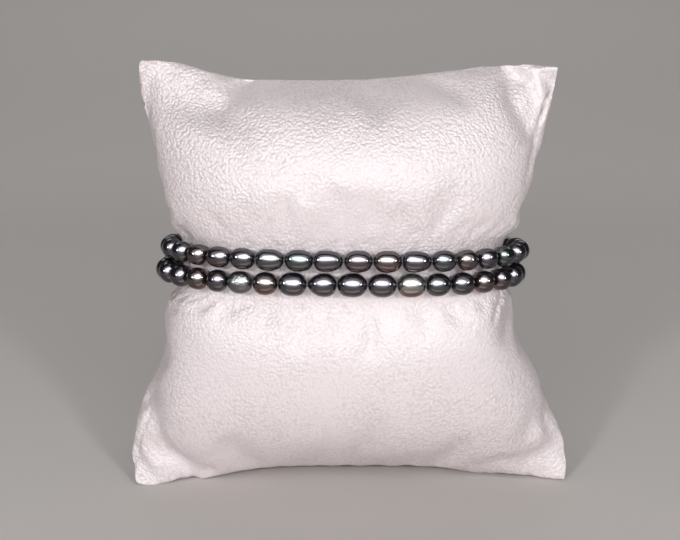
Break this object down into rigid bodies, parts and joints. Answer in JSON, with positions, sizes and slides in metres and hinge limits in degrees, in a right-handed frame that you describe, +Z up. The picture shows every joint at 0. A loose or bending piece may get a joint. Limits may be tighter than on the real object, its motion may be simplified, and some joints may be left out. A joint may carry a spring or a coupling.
{
  "type": "pearl bracelet on a display cushion",
  "caption": "Two-strand bracelet of dark oval pearls round a square stuffed leatherette display cushion that stands on edge.",
  "frame": {"origin": "under the centre of the whole object, at the height of the table", "axes": "+Z up, the front of the cushion towards -Y, +X to the right seen from the front"},
  "size_m": [0.0922, 0.0398, 0.088],
  "materials": {
    "leatherette": "pale pinkish white leatherette with a fine grain",
    "pearl": "dark dyed nacre, glossy, with green, purple, blue and brown overtones",
    "silver": "plain satin silver"
  },
  "bodies": {
    "root": {"display_cushion": "leatherette", "upper_strand": "pearl", "lower_strand": "pearl", "clasp": "silver"}
  },
  "joints": []
}
